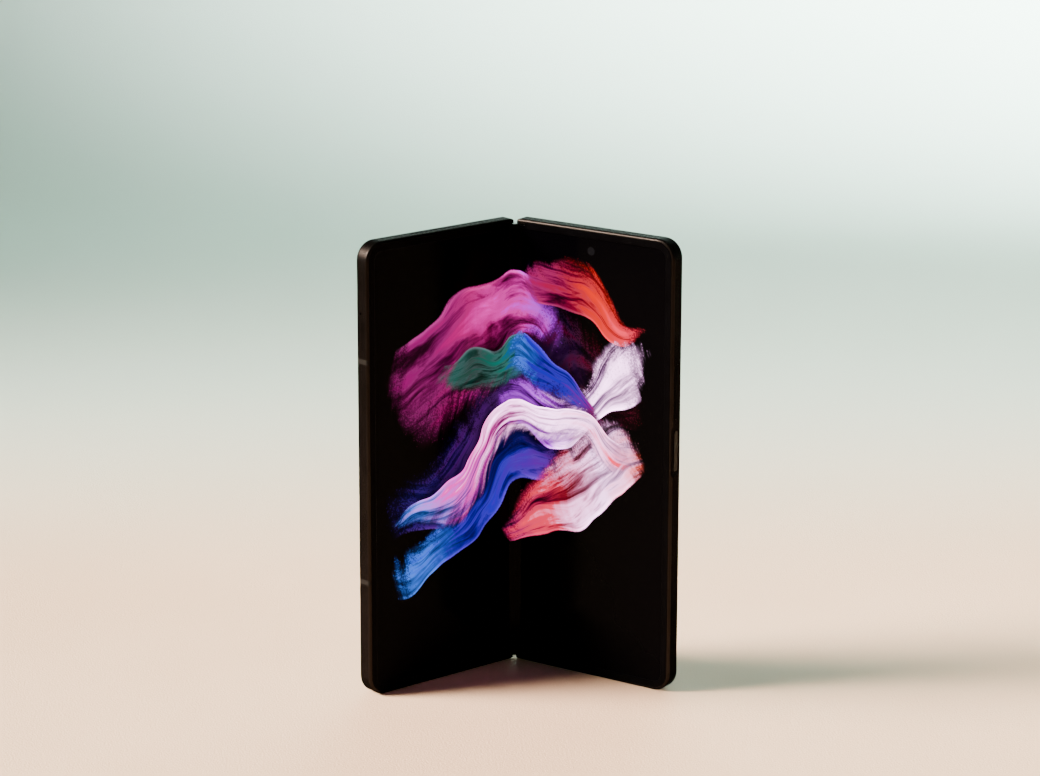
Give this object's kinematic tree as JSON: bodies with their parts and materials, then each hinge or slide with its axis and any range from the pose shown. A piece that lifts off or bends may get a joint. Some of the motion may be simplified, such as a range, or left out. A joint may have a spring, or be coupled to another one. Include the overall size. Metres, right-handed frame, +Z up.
{
  "type": "foldable smartphone",
  "caption": "Foldable smartphone that opens like a book to a tablet-like inner screen and stands half open on its bottom edge.",
  "frame": {"origin": "middle of the phone's footprint on the surface it stands on, half open", "axes": "+Z up, along the fold; -Y the way the inner screen faces; +X towards the half with the keys"},
  "size_m": [0.1082, 0.0436, 0.1582],
  "materials": {
    "spine_metal": "black anodised, brushed along the spine",
    "spine_plastic": "fine grain",
    "bezel_plastic": "soft matte with a faint sheen",
    "hinge_steel": "ground and oiled",
    "screw_steel": "dark zinc",
    "inner_screen": "glossy film over a flexible panel",
    "plate_steel": "rolled sheet",
    "flex_film": "amber film",
    "gear_steel": "moulded and tumbled",
    "frame_metal": "black anodised with a warm cast, satin",
    "sweeper_rubber": "dense short fibre",
    "battery_foil": "laminated pouch",
    "board": "solder mask",
    "speaker_plastic": "moulded",
    "camera_black": "black moulding",
    "cover_panel": "flexible panel on its carrier",
    "back_glass": "toughened, black on the inside",
    "antenna_plastic": "filled resin, flush",
    "weight_metal": "machined",
    "shield_metal": "drawn cans",
    "island_metal": "black anodised",
    "window_glass": "coated",
    "coil_copper": "copper on film",
    "socket_steel": "drawn shell",
    "key_metal": "black anodised, satin",
    "sensor_key": "smooth, with a touch sensor",
    "lens_plastic": "moulded barrel"
  },
  "bodies": {
    "spine": {"spine_cover": "spine_metal", "spine_end_caps": "spine_plastic", "fold_end_caps": "bezel_plastic", "hinge_bracket_bottom": "hinge_steel", "hinge_bracket_top": "hinge_steel", "gear_pins": "hinge_steel", "friction_springs": "hinge_steel", "bracket_screws": "screw_steel", "screen_fold": "inner_screen", "fold_lattice": "plate_steel", "hinge_flex_cables": "flex_film"},
    "pinion_left": {"pinion_left": "gear_steel"},
    "idler_left": {"idler_left": "gear_steel"},
    "idler_right": {"idler_right": "gear_steel"},
    "pinion_right": {"pinion_right": "gear_steel"},
    "left_half": {"frame_left": "frame_metal", "bezel_left": "bezel_plastic", "screen_left": "inner_screen", "support_plate_left": "plate_steel", "wing_plate_left": "plate_steel", "rotators_left": "hinge_steel", "wing_screws_left": "screw_steel", "sweeper_left": "sweeper_rubber", "battery_left": "battery_foil", "sub_board": "board", "card_reader": "plate_steel", "speakers": "speaker_plastic", "cover_camera": "camera_black", "cover_screen": "cover_panel", "cover_glass": "back_glass", "antenna_bands_left": "antenna_plastic", "haptic_case": "plate_steel"},
    "card_tray": {"card_tray": "frame_metal"},
    "haptic_mass": {"haptic_mass": "weight_metal"},
    "right_half": {"frame_right": "frame_metal", "bezel_right": "bezel_plastic", "screen_right": "inner_screen", "support_plate_right": "plate_steel", "wing_plate_right": "plate_steel", "rotators_right": "hinge_steel", "wing_screws_right": "screw_steel", "sweeper_right": "sweeper_rubber", "battery_right": "battery_foil", "main_board": "board", "board_shields": "shield_metal", "camera_ultrawide": "camera_black", "camera_main": "camera_black", "camera_tele": "camera_black", "camera_island": "island_metal", "camera_windows": "window_glass", "under_screen_camera": "camera_black", "rear_glass": "back_glass", "charging_coil": "coil_copper", "charging_board": "board", "charging_socket": "socket_steel", "antenna_bands_right": "antenna_plastic", "key_flex": "flex_film"},
    "volume_key": {"volume_key": "key_metal"},
    "power_key": {"power_key": "sensor_key"},
    "focus_barrel": {"focus_barrel": "lens_plastic"}
  },
  "joints": [
    {"name": "fold_left", "type": "hinge", "parent": "spine", "child": "left_half", "pos_m": [-0.00195, 0.01582, 0.0791], "axis": [0, 0, 1], "range_deg": [-37.7, 53.04], "deforming": ["screen_fold", "fold_lattice", "hinge_flex_cables"]},
    {"name": "fold_right", "type": "hinge", "parent": "spine", "child": "right_half", "pos_m": [0.00195, 0.01582, 0.0791], "axis": [0, 0, 1], "range_deg": [-53.04, 37.7]},
    {"name": "pinion_left_spin", "type": "hinge", "parent": "spine", "child": "pinion_left", "pos_m": [-0.00295, 0.01844, 0.0791], "axis": [0, 0, 1], "range_deg": [-143.26, 201.54]},
    {"name": "idler_left_spin", "type": "hinge", "parent": "spine", "child": "idler_left", "pos_m": [-0.001, 0.01888, 0.0791], "axis": [0, 0, 1], "range_deg": [-201.54, 143.26]},
    {"name": "idler_right_spin", "type": "hinge", "parent": "spine", "child": "idler_right", "pos_m": [0.001, 0.01888, 0.0791], "axis": [0, 0, 1], "range_deg": [-143.26, 201.54]},
    {"name": "pinion_right_spin", "type": "hinge", "parent": "spine", "child": "pinion_right", "pos_m": [0.00295, 0.01844, 0.0791], "axis": [0, 0, 1], "range_deg": [-201.54, 143.26]},
    {"name": "card_tray_slide", "type": "slide", "parent": "left_half", "child": "card_tray", "axis": [-0.7912, -0.6115, 0], "range_m": [0, 0.03]},
    {"name": "haptic_shake", "type": "slide", "parent": "left_half", "child": "haptic_mass", "axis": [0, 0, 1], "range_m": [-0.0004, 0.0004], "stiffness_N_per_m": 400},
    {"name": "volume_press", "type": "slide", "parent": "right_half", "child": "volume_key", "axis": [-0.7912, 0.6115, 0], "range_m": [0, 0.00025], "stiffness_N_per_m": 1500, "springref_m": -0.0003},
    {"name": "power_press", "type": "slide", "parent": "right_half", "child": "power_key", "axis": [-0.7912, 0.6115, 0], "range_m": [0, 0.00025], "stiffness_N_per_m": 1500, "springref_m": -0.0003},
    {"name": "lens_focus", "type": "slide", "parent": "right_half", "child": "focus_barrel", "axis": [0.6115, 0.7912, 0], "range_m": [0, 0.00025]}
  ],
  "couplings": [
    {"joint": "fold_right", "follows": "fold_left", "ratio": -1},
    {"joint": "pinion_left_spin", "follows": "fold_left", "ratio": 3.8},
    {"joint": "idler_left_spin", "follows": "fold_left", "ratio": -3.8},
    {"joint": "idler_right_spin", "follows": "fold_left", "ratio": 3.8},
    {"joint": "pinion_right_spin", "follows": "fold_left", "ratio": -3.8}
  ]
}
